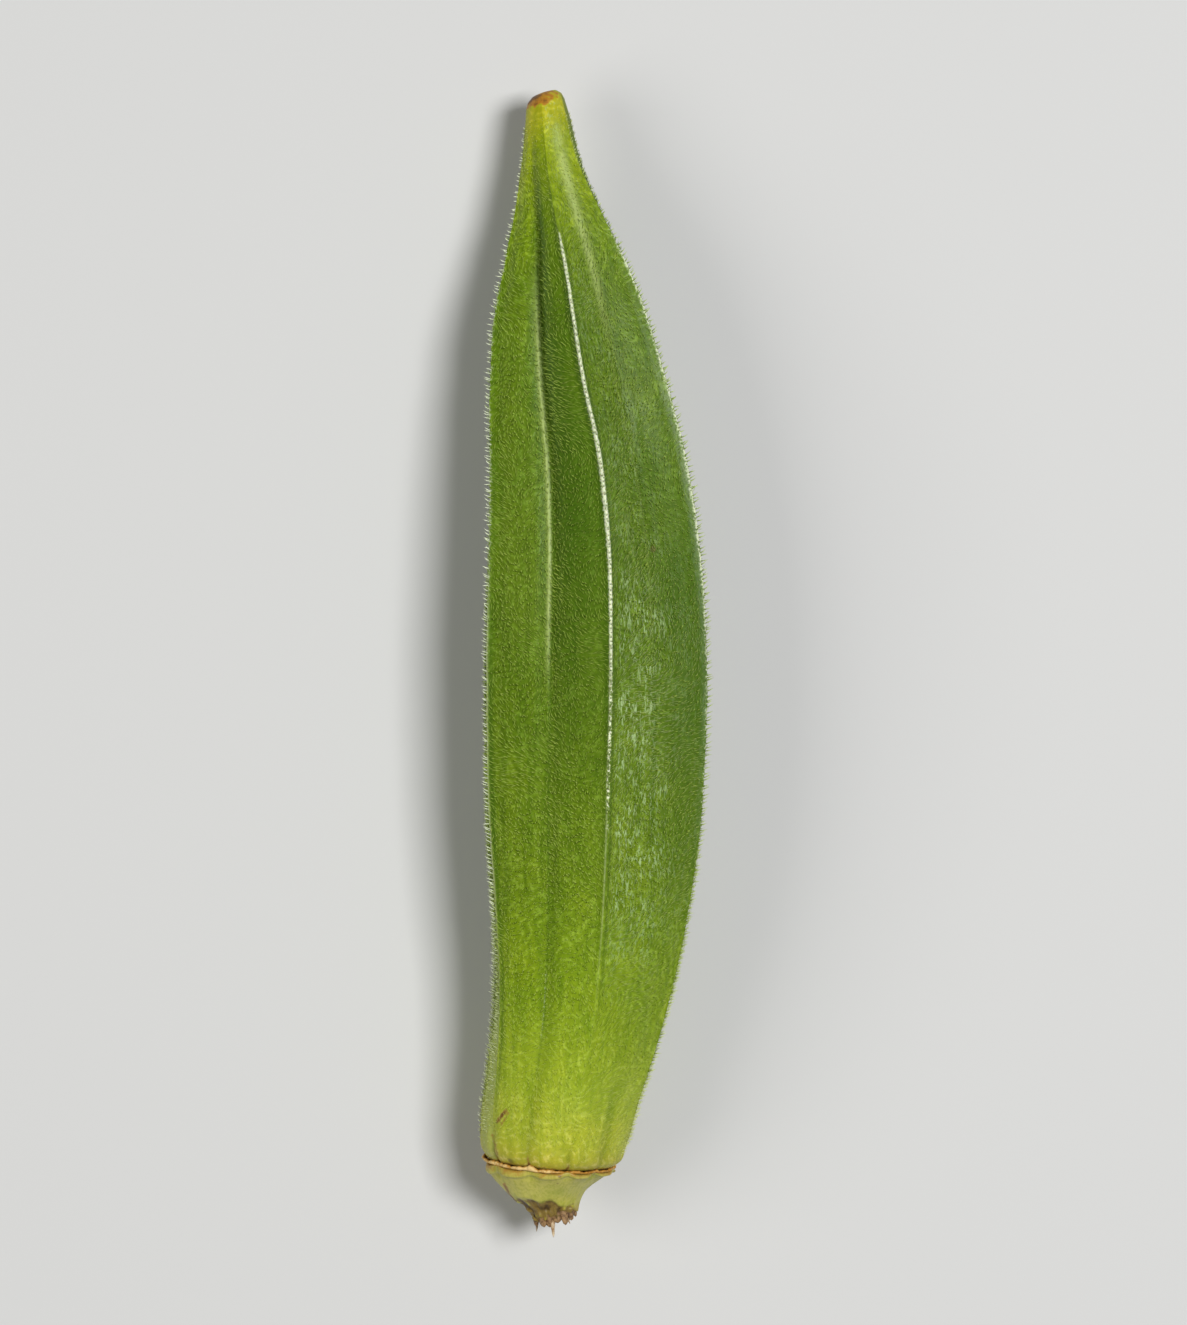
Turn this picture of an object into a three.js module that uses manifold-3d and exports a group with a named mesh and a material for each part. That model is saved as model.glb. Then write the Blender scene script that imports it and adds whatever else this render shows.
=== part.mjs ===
// An okra pod as picked, lying on its side: the five-ribbed green pod, and the pale stem cap with its
// corky scar ring and cut stalk. Millimetres. +Y runs from the stalk to the tip and +Z is up.
// The origin is on the surface that the pod lies on, under the middle of its outline.
import * as THREE from "three";
import { mergeVertices } from "three/addons/utils/BufferGeometryUtils.js";
import Module from "manifold-3d";

// Driving dimensions. "Along" is the distance in Y from the scar ring, towards the tip.
const POD_LENGTH = 122.5; // scar ring to tip
const STALK_END = -6.4; // along, where the stalk is cut
const RING_RADIUS = 7.5; // outside of the scar ring
const STALK_RADIUS = 2.7; // at the cut
const SEAM = 0.3; // clearance between the pod's base and the dish of the cap
const DISH_DEPTH = 0.9; // how far the pod's base bulges into the cap

// Radius of the pod at its ribs, along its length.
const RIB_RADIUS = [
  [0, 7.2], [1.2, 8.4], [3.6, 9.1], [9, 9.65], [18, 10.85], [28.5, 12.25], [38, 13.25],
  [50, 13.75], [60, 13.75], [70, 13.2], [81, 12.1], [88, 11.1], [96.5, 9.5], [101, 8.2],
  [105.5, 6.65], [110, 5.15], [114.5, 3.9], [118.5, 3.05], [121, 2.45],
];
// Centre line seen from above, bowed towards +X, and seen from the side, above the surface.
const SIDEWAYS = [
  [STALK_END, -4.3], [-3, -4.95], [0, -5], [9, -3.5], [18, -1.65], [28.5, -0.4], [48, 0], [60, -0.15],
  [70, -0.35], [81, -1], [92, -2.1], [105.5, -3.55], [114, -4.7], [POD_LENGTH, -5.6],
];
const HEIGHT = [
  [STALK_END, 9.1], [-3, 9.3], [0, 9.5], [9, 10.35], [22, 11], [40, 11.3], [60, 11.37],
  [80, 11.1], [95, 10.5], [108, 9.55], [POD_LENGTH, 7.8],
];

// The five ribs, in degrees from the top turning towards +X, and how they twist along the pod.
const RIBS = [8, 69, 141, 219, 298];
const TWIST = [
  [STALK_END, 10], [0, 9], [12, 5], [26, 0], [80, 0], [88, -4], [95, -6], [102, -8], [109, -13],
  [116, -17], [POD_LENGTH, -19],
];
// The section's relief, as shares of the rib radius: how flat each side is between two ribs, how
// deep the valley line in its middle is, and how proud each rib stands. Near the ring the rib
// lines turn into creases, so their height is below zero there.
const FLATNESS = [
  [0, 0.02], [8, 0.05], [20, 0.085], [35, 0.12], [60, 0.165], [80, 0.205], [95, 0.215],
  [105, 0.17], [112, 0.09], [118, 0.03], [POD_LENGTH, 0.02],
];
const VALLEY = [
  [0, 0.045], [5, 0.018], [20, 0.015], [60, 0.02], [84, 0.04], [98, 0.06], [110, 0.03], [118, 0],
];
const RIB_HEIGHT = [
  [0, -0.05], [4, -0.015], [10, 0.004], [25, 0.014], [60, 0.022], [100, 0.03], [112, 0.015], [119, 0],
];
// How deep each side's valley line is, as a share of the full depth: it is faint on the first side.
const VALLEY_SHARES = [0.35, 0.85, 0.85, 0.85, 1];
const VALLEY_HALF_WIDTH = 0.09; // share of a side
const RIB_HALF_WIDTH = 0.045; // share of a side

// Profile of the cap from the scar ring to the cut: [along, radius].
const CAP_PROFILE = [
  [-0.15, RING_RADIUS - 0.45], [-0.3, RING_RADIUS - 0.1], [-0.55, RING_RADIUS], [-0.85, RING_RADIUS - 0.1],
  [-1.05, RING_RADIUS - 0.5], [-1.6, 6.45], [-2.3, 5.7], [-3.1, 4.85], [-3.9, 4.1], [-4.7, 3.45],
  [-5.6, 2.95], [STALK_END, STALK_RADIUS],
];
const CUT_PROFILE = [[0.12, 2.35], [0.35, 1.7], [0.4, 0.9]]; // the cut face, dried hollow: [depth, radius]
const RING_ALONG = -0.6; // where the scar ring is widest
const RING_SPREAD = 0.8; // how far along the cap its teeth and dents fade out
const SCALLOP = 0.45; // how far the ring's teeth rise into the creases
const RING_DENT = 0.035; // how far the ring draws in at a crease, as a share of its radius
const CREASE_HALF_WIDTH = 0.1; // share of a side
const CAP_ANGLES = 0.03; // how far the cap's soft corners stand out, as a share of its radius

// Torn fibres round the cut: [degrees from the top, length, lean out in degrees].
const FIBRES = [[350, 1.9, 3], [322, 0.8, 12], [28, 0.9, 14], [150, 1.3, 14], [188, 1, 4], [238, 1.3, 20]];
const FIBRE_RADIUS = 0.4;
const FIBRE_POINT = 0.35; // radius of its point, as a share of its radius
const FIBRE_ROOT = 1.2; // how deep a fibre's root is sunk in the stalk
const FIBRE_INSET = 0.7; // from the stalk's skin
const FIBRE_SIDES = 6;

// Where vertices lie across one side, from rib to rib, closer at the ribs and at the valley line.
const ACROSS = [0, 0.035, 0.09, 0.19, 0.31, 0.42, 0.5, 0.58, 0.69, 0.81, 0.91, 0.965];
const POD_STATIONS = [
  0.15, 0.6, 1.2, 2, 3, 4.4, 6.2, 8.5, 11.5, 15, 19, 23, 27, 31, 35, 39, 43, 47, 51, 55, 59, 63, 67,
  71, 75, 79, 83, 86.5, 90, 93.5, 97, 100, 103, 106, 109, 112, 115, 117.5, 119.5, 121,
];
const DISH_RINGS = [0.3, 0.62, 0.88]; // shares of the ring's radius
const TIP_END = [[121.7, 0.88], [122.15, 0.66], [122.3, 0.34]]; // [along, share of the last radius]
const TIP_HOLLOW = 0.4; // how far the middle of the dry tip is sunk in
const TIP_SLANT = 0.2; // how much further the dry tip reaches on the side of +X: rise over run
const SLANT_FROM = 112; // along, where the slant of the tip sets in
// Slow swells that leave the pod a little uneven: [share of the radius, length, waves round, phase].
const SWELLS = [[0.006, 9, 2, 0], [0.005, 17, -3, 1.3]];
const TANGENT_STEP = 0.5; // half the stretch of centre line that gives a section its direction

const FULL_TURN = 2 * Math.PI;
const radians = THREE.MathUtils.degToRad;

// A smooth function through [position, value] points: cubic Hermite with averaged slopes.
function curveThrough(points) {
  const chord = (i) => (points[i + 1][1] - points[i][1]) / (points[i + 1][0] - points[i][0]);
  const last = points.length - 1;
  const slopes = points.map((_, i) => {
    if (i === 0) return chord(0);
    if (i === last) return chord(last - 1);
    return (chord(i - 1) + chord(i)) / 2;
  });
  return (x) => {
    if (x <= points[0][0]) return points[0][1];
    if (x >= points[last][0]) return points[last][1];
    const i = points.findIndex((p) => p[0] > x) - 1;
    const span = points[i + 1][0] - points[i][0];
    const s = (x - points[i][0]) / span;
    return (
      points[i][1] * (1 + 2 * s) * (1 - s) ** 2 +
      points[i + 1][1] * s * s * (3 - 2 * s) +
      slopes[i] * span * s * (1 - s) ** 2 -
      slopes[i + 1] * span * s * s * (1 - s)
    );
  };
}

const ribRadius = curveThrough(RIB_RADIUS);
const sideways = curveThrough(SIDEWAYS);
const height = curveThrough(HEIGHT);
const twist = curveThrough(TWIST);
const flatness = curveThrough(FLATNESS);
const valleyDepth = curveThrough(VALLEY);
const ribHeight = curveThrough(RIB_HEIGHT);

// A bell of height 1 and half width 1.
const bell = (x) => Math.exp(-x * x);

// Centre, tangent, side (+X) and up (+Z) of the section at a place along the centre line.
function frameAt(along) {
  const at = (y) => new THREE.Vector3(sideways(y), y, height(y));
  const low = Math.max(along - TANGENT_STEP, STALK_END);
  const high = Math.min(along + TANGENT_STEP, POD_LENGTH);
  const tangent = at(high).sub(at(low)).normalize();
  const side = new THREE.Vector3().crossVectors(tangent, new THREE.Vector3(0, 0, 1)).normalize();
  const up = new THREE.Vector3().crossVectors(side, tangent);
  return { centre: at(along), tangent, side, up };
}

// A point of a section: an angle from the top, a radius, and a shift along the tangent.
function pointOn(frame, angle, radius, shift = 0) {
  return frame.centre
    .clone()
    .addScaledVector(frame.side, radius * Math.sin(angle))
    .addScaledVector(frame.up, radius * Math.cos(angle))
    .addScaledVector(frame.tangent, shift);
}

// Every place round a section: its angle, the side that it lies on, and its share u of that side.
function placesRound(along) {
  return RIBS.flatMap((rib, i) => {
    const next = RIBS[(i + 1) % RIBS.length] + (i + 1 === RIBS.length ? 360 : 0);
    return ACROSS.map((u) => ({ u, side: i, angle: radians(rib + (next - rib) * u + twist(along)) }));
  });
}

function unevenness(along, angle) {
  const heights = SWELLS.map(([share, length, waves, phase]) => {
    return share * Math.sin(along / length + waves * angle + phase);
  });
  return heights.reduce((sum, swell) => sum + swell, 0);
}

// The pod's radius, with its flat sides, valley lines and ribs.
function podRadius(along, { u, side, angle }) {
  const toRib = Math.min(u, 1 - u) / RIB_HALF_WIDTH;
  const relief =
    1 -
    flatness(along) * Math.sin(Math.PI * u) -
    VALLEY_SHARES[side] * valleyDepth(along) * bell((u - 0.5) / VALLEY_HALF_WIDTH) +
    ribHeight(along) * bell(toRib) +
    unevenness(along, angle);
  return ribRadius(along) * relief;
}

// 1 on a crease (a rib line or a valley line), 0 between creases.
const creaseness = (u) => Math.max(...[0, 0.5, 1].map((crease) => bell((u - crease) / CREASE_HALF_WIDTH)));

// The shift along the tangent that slants the sections towards the tip.
function tipShift(along, angle, radius) {
  return TIP_SLANT * THREE.MathUtils.smoothstep(along, SLANT_FROM, 121) * radius * Math.sin(angle);
}

// A closed solid through rings of points, with a fan to a pole at each end.
function loft(startPole, rings, endPole) {
  const count = rings[0].length;
  const points = [startPole, ...rings.flat(), endPole];
  const at = (ring, i) => 1 + ring * count + (i % count);
  const end = points.length - 1;
  const faces = [];
  for (let i = 0; i < count; i++) {
    faces.push(0, at(0, i + 1), at(0, i));
    faces.push(end, at(rings.length - 1, i), at(rings.length - 1, i + 1));
    for (let r = 0; r + 1 < rings.length; r++) {
      faces.push(at(r, i), at(r, i + 1), at(r + 1, i + 1));
      faces.push(at(r, i), at(r + 1, i + 1), at(r + 1, i));
    }
  }
  const geometry = new THREE.BufferGeometry().setFromPoints(points);
  geometry.setIndex(faces);
  return geometry;
}

// What would reach below the surface is pressed flat on it, which gives the pod its resting spot.
const pressFlat = (point) => point.setZ(Math.max(point.z, 0));

// The base of the pod, or the dish of the cap that takes it: the same bowl, a seam apart.
function bowlRings(shares, rim, radiusAt, shift) {
  return shares.map((share) =>
    placesRound(0).map((place) =>
      pointOn(rim, place.angle, share * radiusAt(place), shift - DISH_DEPTH * (1 - share * share)),
    ),
  );
}

function podGeometry() {
  const rim = frameAt(0);
  const base = bowlRings(DISH_RINGS, rim, (place) => podRadius(0, place), SEAM / 2);
  const skinPoint = (along, angle, radius) =>
    pointOn(frameAt(along), angle, radius, tipShift(along, angle, radius));
  const skin = POD_STATIONS.map((along) =>
    placesRound(along).map((place) => pressFlat(skinPoint(along, place.angle, podRadius(along, place)))),
  );
  const lastStation = POD_STATIONS[POD_STATIONS.length - 1];
  const tip = TIP_END.map(([along, share]) =>
    placesRound(along).map((place) =>
      skinPoint(along, place.angle, share * podRadius(lastStation, place)),
    ),
  );
  const basePole = pointOn(rim, 0, 0, SEAM / 2 - DISH_DEPTH);
  return loft(basePole, [...base, ...skin, ...tip], frameAt(POD_LENGTH - TIP_HOLLOW).centre);
}

// Radius and shift of a place on the cap, from its scalloped ring down to the round stalk.
function capPoint(along, radius, place) {
  const ringShare = bell((along - RING_ALONG) / RING_SPREAD);
  const capShare = THREE.MathUtils.smoothstep(along, STALK_END, RING_ALONG);
  const corners = CAP_ANGLES * capShare * Math.cos(FULL_TURN * place.u);
  const dent = RING_DENT * ringShare * creaseness(place.u);
  const shift = SCALLOP * ringShare * (creaseness(place.u) - 0.5);
  return pointOn(frameAt(along), place.angle, radius * (1 + corners - dent), shift);
}

function capGeometry() {
  const rim = frameAt(0);
  const outside = CAP_PROFILE.slice(1).map(([along, radius]) =>
    placesRound(along).map((place) => capPoint(along, radius, place)),
  );
  const cutEnd = frameAt(STALK_END);
  const cut = CUT_PROFILE.map(([depth, radius]) =>
    placesRound(STALK_END).map((place) => pointOn(cutEnd, place.angle, radius, depth)),
  );
  const dishRadius = () => CAP_PROFILE[0][1];
  const dish = bowlRings([...DISH_RINGS, 1], rim, dishRadius, -SEAM / 2);
  const dishPole = pointOn(rim, 0, 0, -SEAM / 2 - DISH_DEPTH);
  const cutPole = pointOn(cutEnd, 0, 0, CUT_PROFILE[CUT_PROFILE.length - 1][0]);
  return loft(cutPole, [...cut.reverse(), ...outside.reverse(), ...dish.reverse()], dishPole);
}

// One torn fibre: a slim cone with its root sunk in the stalk and its point beyond the cut.
function fibreGeometry([degrees, length, lean]) {
  const end = frameAt(STALK_END);
  const angle = radians(degrees);
  const root = pointOn(end, angle, STALK_RADIUS - FIBRE_INSET, FIBRE_ROOT);
  const outward = pointOn(end, angle, 1).sub(end.centre);
  const direction = end.tangent
    .clone()
    .negate()
    .addScaledVector(outward, Math.tan(radians(lean)))
    .normalize();
  const whole = length + FIBRE_ROOT;
  const cone = new THREE.CylinderGeometry(FIBRE_RADIUS * FIBRE_POINT, FIBRE_RADIUS, whole, FIBRE_SIDES);
  cone.translate(0, whole / 2, 0);
  cone.applyQuaternion(new THREE.Quaternion().setFromUnitVectors(new THREE.Vector3(0, 1, 0), direction));
  return cone.translate(root.x, root.y, root.z);
}

const wasm = await Module();
wasm.setup();

// A closed geometry as a manifold solid, and back.
function toSolid(geometry) {
  const bare = geometry.clone();
  bare.deleteAttribute("normal");
  bare.deleteAttribute("uv");
  const merged = mergeVertices(bare, 1e-4);
  return new wasm.Manifold(
    new wasm.Mesh({
      numProp: 3,
      vertProperties: new Float32Array(merged.attributes.position.array),
      triVerts: new Uint32Array(merged.index.array),
    }),
  );
}

function toGeometry(solid) {
  const mesh = solid.getMesh();
  const geometry = new THREE.BufferGeometry();
  geometry.setAttribute("position", new THREE.BufferAttribute(mesh.vertProperties, 3));
  geometry.setIndex(new THREE.BufferAttribute(mesh.triVerts, 1));
  return geometry;
}

const podSkin = new THREE.MeshStandardMaterial({ color: 0x6e8a22, roughness: 0.5, metalness: 0 });
const capSkin = new THREE.MeshStandardMaterial({ color: 0xb4b262, roughness: 0.55, metalness: 0 });

const pod = new THREE.Mesh(podGeometry(), podSkin);
pod.name = "pod";

const capWithFibres = FIBRES.map(fibreGeometry)
  .map(toSolid)
  .reduce((whole, fibre) => whole.add(fibre), toSolid(capGeometry()));
const stemCap = new THREE.Mesh(toGeometry(capWithFibres), capSkin);
stemCap.name = "stem_cap";

for (const mesh of [pod, stemCap]) mesh.geometry.computeVertexNormals();

const okraPod = new THREE.Group();
okraPod.add(pod, stemCap);

// The origin goes under the middle of the outline.
const middle = new THREE.Box3().setFromObject(okraPod).getCenter(new THREE.Vector3());
okraPod.position.set(-middle.x, -middle.y, 0);

export default okraPod;
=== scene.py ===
"""The looks of an okra pod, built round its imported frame.

The pod lies on its side along Y with its tip at +Y, as its solids do. Sizes are in millimetres up to
the point where a mesh is made. A place on the skin has three coordinates: y is the distance from the
scar ring towards the tip, side is the number of one of the five flat sides between the ribs, and u is
the share of that side, from 0 at one rib to 1 at the next.
"""

import itertools
import math

import bpy
import numpy as np
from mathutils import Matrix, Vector


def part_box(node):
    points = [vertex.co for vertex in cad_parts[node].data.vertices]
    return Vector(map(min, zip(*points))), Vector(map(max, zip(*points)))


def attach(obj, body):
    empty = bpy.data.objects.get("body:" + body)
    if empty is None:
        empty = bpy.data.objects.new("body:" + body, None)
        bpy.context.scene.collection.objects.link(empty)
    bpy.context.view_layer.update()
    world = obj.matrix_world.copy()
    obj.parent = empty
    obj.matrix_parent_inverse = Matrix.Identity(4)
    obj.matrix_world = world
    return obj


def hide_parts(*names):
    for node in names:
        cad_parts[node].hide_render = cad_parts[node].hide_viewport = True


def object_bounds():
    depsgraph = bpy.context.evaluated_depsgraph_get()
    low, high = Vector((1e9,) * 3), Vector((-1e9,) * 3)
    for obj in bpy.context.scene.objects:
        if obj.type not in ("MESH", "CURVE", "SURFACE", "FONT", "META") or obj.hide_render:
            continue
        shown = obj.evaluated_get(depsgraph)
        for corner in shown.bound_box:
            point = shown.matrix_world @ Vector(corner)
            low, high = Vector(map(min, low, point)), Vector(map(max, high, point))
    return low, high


METRE = 0.001  # one millimetre, in metres
SEED = 20


# ---- curves and noise


def curve_through(points):
    """A smooth function through {place: value}: cubic Hermite with averaged slopes."""
    places, values = np.array([*points.items()], float).T
    chords = np.diff(values) / np.diff(places)
    slopes = np.concatenate([chords[:1], (chords[:-1] + chords[1:]) / 2, chords[-1:]])

    def value(x):
        x = np.clip(x, places[0], places[-1])
        i = np.clip(np.searchsorted(places, x, side="right") - 1, 0, len(places) - 2)
        span = places[i + 1] - places[i]
        s = (x - places[i]) / span
        return (
            values[i] * (1 + 2 * s) * (1 - s) ** 2
            + values[i + 1] * s * s * (3 - 2 * s)
            + slopes[i] * span * s * (1 - s) ** 2
            - slopes[i + 1] * span * s * s * (1 - s)
        )

    return value


def bell(x):
    return np.exp(-np.square(x))


def rise(x, low, high):
    """0 at low, 1 at high, smooth between. Low may be the larger one."""
    t = np.clip((x - low) / (high - low), 0, 1)
    return t * t * (3 - 2 * t)


def within(x, rise_from, rise_to, fall_from, fall_to):
    """1 from the end of the rise to the start of the fall, 0 outside them."""
    return rise(x, rise_from, rise_to) * rise(x, fall_to, fall_from)


def unit(vectors):
    return vectors / np.linalg.norm(vectors, axis=-1, keepdims=True)


HASH_FACTORS = np.array([374761393, 668265263, 2147483629])
HASH_MIXER = 1274126177
LOW_32_BITS = 0xFFFFFFFF
LOW_16_BITS = 0xFFFF


def lattice(cell, stream):
    """A fixed number from -1 to 1 for each cell of a grid."""
    mixed = ((cell * HASH_FACTORS).sum(-1) + (SEED + stream) * HASH_MIXER) & LOW_32_BITS
    mixed = ((mixed ^ (mixed >> 13)) * HASH_MIXER) & LOW_32_BITS
    return ((mixed ^ (mixed >> 16)) & LOW_16_BITS) / (LOW_16_BITS / 2) - 1


def noise(points, stream):
    """Smooth noise from -1 to 1, with features about one unit across, and another for each stream."""
    cell = np.floor(points).astype(np.int64)
    part = points - cell
    part = part * part * (3 - 2 * part)
    total = 0
    for corner in itertools.product((0, 1), repeat=3):
        weight = np.prod(np.where(corner, part, 1 - part), axis=-1)
        total = total + weight * lattice(cell + corner, stream)
    return total


def round_noise(y, angle, density, length, stream):
    """Noise round the centre line, with about so many features a radian and each so long."""
    return noise(np.stack([np.sin(angle) * density, y / length, np.cos(angle) * density], -1), stream)


# ---- the form, as in the solids

POD_LENGTH = 122.5
STALK_END = -6.4
RING_RADIUS = 7.5
STALK_RADIUS = 2.7
SEAM = 0.3  # the gap between pod and cap
DISH_DEPTH = 0.9

rib_radius = curve_through({
    0: 7.2, 1.2: 8.4, 3.6: 9.1, 9: 9.65, 18: 10.85, 28.5: 12.25, 38: 13.25,
    50: 13.75, 60: 13.75, 70: 13.2, 81: 12.1, 88: 11.1, 96.5: 9.5, 101: 8.2,
    105.5: 6.65, 110: 5.15, 114.5: 3.9, 118.5: 3.05, 121: 2.45,
})
sideways = curve_through({
    STALK_END: -4.3, -3: -4.95, 0: -5, 9: -3.5, 18: -1.65, 28.5: -0.4, 48: 0, 60: -0.15,
    70: -0.35, 81: -1, 92: -2.1, 105.5: -3.55, 114: -4.7, POD_LENGTH: -5.6,
})
height = curve_through({
    STALK_END: 9.1, -3: 9.3, 0: 9.5, 9: 10.35, 22: 11, 40: 11.3, 60: 11.37,
    80: 11.1, 95: 10.5, 108: 9.55, POD_LENGTH: 7.8,
})
twist = curve_through({
    STALK_END: 10, 0: 9, 12: 5, 26: 0, 80: 0, 88: -4, 95: -6, 102: -8, 109: -13,
    116: -17, POD_LENGTH: -19,
})
flatness = curve_through({
    0: 0.02, 8: 0.05, 20: 0.085, 35: 0.12, 60: 0.165, 80: 0.205, 95: 0.215,
    105: 0.17, 112: 0.09, 118: 0.03, POD_LENGTH: 0.02,
})
valley_depth = curve_through({0: 0.045, 5: 0.018, 20: 0.015, 60: 0.02, 84: 0.04, 98: 0.06, 110: 0.03, 118: 0})
rib_height = curve_through({
    0: -0.05, 4: -0.015, 10: 0.004, 25: 0.014, 60: 0.022, 100: 0.03, 112: 0.015,
    119: 0,
})

RIBS = np.array([8, 69, 141, 219, 298])  # degrees from the top, towards +X
TOP_RIB = 0
LEFT_RIB = 4  # the one on the outline at the side of -X
SPANS = np.diff(np.append(RIBS, RIBS[0] + 360))
UPPER_RIGHT, RIGHT, UNDERSIDE, LEFT, UPPER_LEFT = range(5)  # the sides, seen from above
VALLEY_SHARES = np.array([0.35, 0.85, 0.85, 0.85, 1])
VALLEY_HALF_WIDTH = 0.09
RIB_HALF_WIDTH = 0.045
SWELLS = [(0.006, 9, 2, 0), (0.005, 17, -3, 1.3)]  # share of the radius, length, waves round, phase
TANGENT_STEP = 0.5
DISH_RINGS = [0.3, 0.62, 0.88]
TIP_FROM = 121
TIP_END = [(121.7, 0.88), (122.15, 0.66), (122.3, 0.34)]  # y, share of the radius at TIP_FROM
TIP_HOLLOW = 0.4
TIP_SLANT = 0.2
SLANT_FROM = 112

CAP_PROFILE = [
    (-0.15, RING_RADIUS - 0.45), (-0.3, RING_RADIUS - 0.1), (-0.55, RING_RADIUS),
    (-0.85, RING_RADIUS - 0.1), (-1.05, RING_RADIUS - 0.5), (-1.6, 6.45), (-2.3, 5.7), (-3.1, 4.85),
    (-3.9, 4.1), (-4.7, 3.45), (-5.6, 2.95), (STALK_END, STALK_RADIUS),
]
RING_Y = -0.6
RING_SPREAD = 0.8
SCALLOP = 0.45
RING_DENT = 0.035
CREASE_HALF_WIDTH = 0.1
CAP_ANGLES = 0.03


def section_frame(y):
    """Centre, tangent, side and up of the section at a place along the centre line."""

    def centre(place):
        return np.stack([sideways(place), place, height(place)], -1)

    low = np.maximum(y - TANGENT_STEP, STALK_END)
    high = np.minimum(y + TANGENT_STEP, POD_LENGTH)
    tangent = unit(centre(high) - centre(low))
    side = unit(np.cross(tangent, [0, 0, 1]))
    up = np.cross(side, tangent)
    return centre(y), tangent, side, up


def point_on(y, angle, radius, shift=0.0):
    """Points of a section: an angle from the top, a radius, and a shift along the tangent."""
    centre, tangent, side, up = section_frame(y)
    parts = np.broadcast_arrays(radius, shift, np.sin(angle), np.cos(angle))
    radius, shift, sine, cosine = (part[..., None] for part in parts)
    return centre + side * radius * sine + up * radius * cosine + tangent * shift


def tip_shift(y, angle, radius):
    """The shift along the tangent that slants the sections towards the tip."""
    return TIP_SLANT * rise(y, SLANT_FROM, TIP_FROM) * radius * np.sin(angle)


def angle_of(y, side, u):
    """The angle from the top, in radians, of a share u of a side."""
    return np.radians(RIBS[side] + SPANS[side] * u + twist(y))


def side_of(y, angle):
    """The side and the share of it at an angle: the reverse of angle_of."""
    turned = np.mod(np.degrees(angle) - twist(y) - RIBS[0], 360)
    side = np.clip(np.searchsorted(np.cumsum(SPANS), turned, side="right"), 0, len(RIBS) - 1)
    start = np.mod(RIBS[side] - RIBS[0], 360)
    return side, (turned - start) / SPANS[side]


def form_radius(y, side, u, angle):
    """The radius of the solid, with its flat sides, valleys and ribs."""
    relief = (
        1
        - flatness(y) * np.sin(np.pi * u)
        - VALLEY_SHARES[side] * valley_depth(y) * bell((u - 0.5) / VALLEY_HALF_WIDTH)
        + rib_height(y) * bell(np.minimum(u, 1 - u) / RIB_HALF_WIDTH)
    )
    for share, length, waves, phase in SWELLS:
        relief = relief + share * np.sin(y / length + waves * angle + phase)
    return rib_radius(y) * relief


def grid_round(rows, shares):
    """A grid of places all round the pod: the row's own number, the side and the share of it."""
    grid = np.meshgrid(rows, np.arange(len(RIBS)), shares, indexing="ij")
    return [values.reshape(len(rows), -1) for values in grid]


def dish(shares, side, u, radius, shift):
    """The rings and the pole of the shallow dish in which pod and cap meet."""
    angle = angle_of(0, side, u)
    depths = [DISH_DEPTH * (1 - share * share) for share in shares]
    rings = [point_on(0, angle, share * radius, shift - depth) for share, depth in zip(shares, depths)]
    return rings, point_on(0, 0, 0, shift - DISH_DEPTH)


# ---- the skin of the pod

SKIN_INSET = 0.42  # the skin lies this far inside the solid, to leave room for its hairs
INSET_FROM = 5.0  # height at which the inset is full; it is nothing where the pod rests
TIP_INSET = 0.15

# The fine threads on the ribs and in the valleys: how high they stand, and how strong each one is.
THREAD_HALF_WIDTH = 0.19
rib_thread = curve_through({0: 0, 34: 0, 44: 0.12, 54: 0.22, 66: 0.28, 95: 0.28, 104: 0.2, 112: 0.1, 119: 0})
valley_thread = curve_through({0: 0, 48: 0.02, 58: 0.1, 70: 0.2, 90: 0.2, 104: 0.1, 115: 0})
RIB_STRENGTHS = np.array([1, 0.5, 0.6, 0.5, 0.3])
DASHED_BELOW = 54.0  # y, where the threads start to break up towards the base
VALLEY_STRENGTHS = np.array([0.15, 0.6, 0.5, 0.6, 1])
TROUGH_OFFSET = 0.6  # from a rib's thread to the middle of the trough on each side of it
TROUGH_HALF_WIDTH = 0.45
RIB_TROUGH = 0.09
VALLEY_THREAD_OFFSET = -0.35  # from the middle of a valley to its thread
VALLEY_TROUGH_OFFSET = 0.6
VALLEY_TROUGH_HALF_WIDTH = 0.75
valley_trough = curve_through({0: 0.03, 12: 0.06, 40: 0.1, 70: 0.14, 92: 0.38, 101: 0.4, 109: 0.15, 116: 0})
furrow = curve_through({0: 0, 8: 0.08, 25: 0.14, 60: 0.14, 90: 0.16, 108: 0.08, 116: 0})
FURROW_AT = [0.27, 0.74]  # shares of a side
FURROW_HALF_WIDTH = 1.5
cone_ridge = curve_through({84: 0, 98: 0.12, 112: 0.16, 120: 0})  # on the upper right side
CONE_RIDGE_HALF_WIDTH = 0.75
skin_fold = curve_through({0: 0, 20: 0.05, 45: 0.15, 60: 0.3, 85: 0.42, 100: 0.36, 112: 0.1, 118: 0})
base_lobe = curve_through({0: 0, 1.2: 0.05, 3: 0.09, 7: 0.05, 14: 0})


def side_width(y, side):
    return np.radians(SPANS[side]) * rib_radius(y)


def to_crease(y, side, u):
    """The distances on the skin to the nearest rib and valley line, above 0 to the right of it."""
    width = side_width(y, side)
    return np.where(u < 0.5, u, u - 1) * width, (u - 0.5) * width


def nearest_rib(side, u):
    return np.where(u < 0.5, side, (side + 1) % len(RIBS))


def between_creases(u):
    """1 half way between a rib and a valley, 0 on both."""
    return np.sin(np.pi * np.mod(2 * u, 1))


def skin_noise(y, angle, width, length, stream):
    """Noise from -1 to 1 on the skin, with features of about this width and length."""
    return round_noise(y, angle, rib_radius(y) / width, length, stream)


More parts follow.
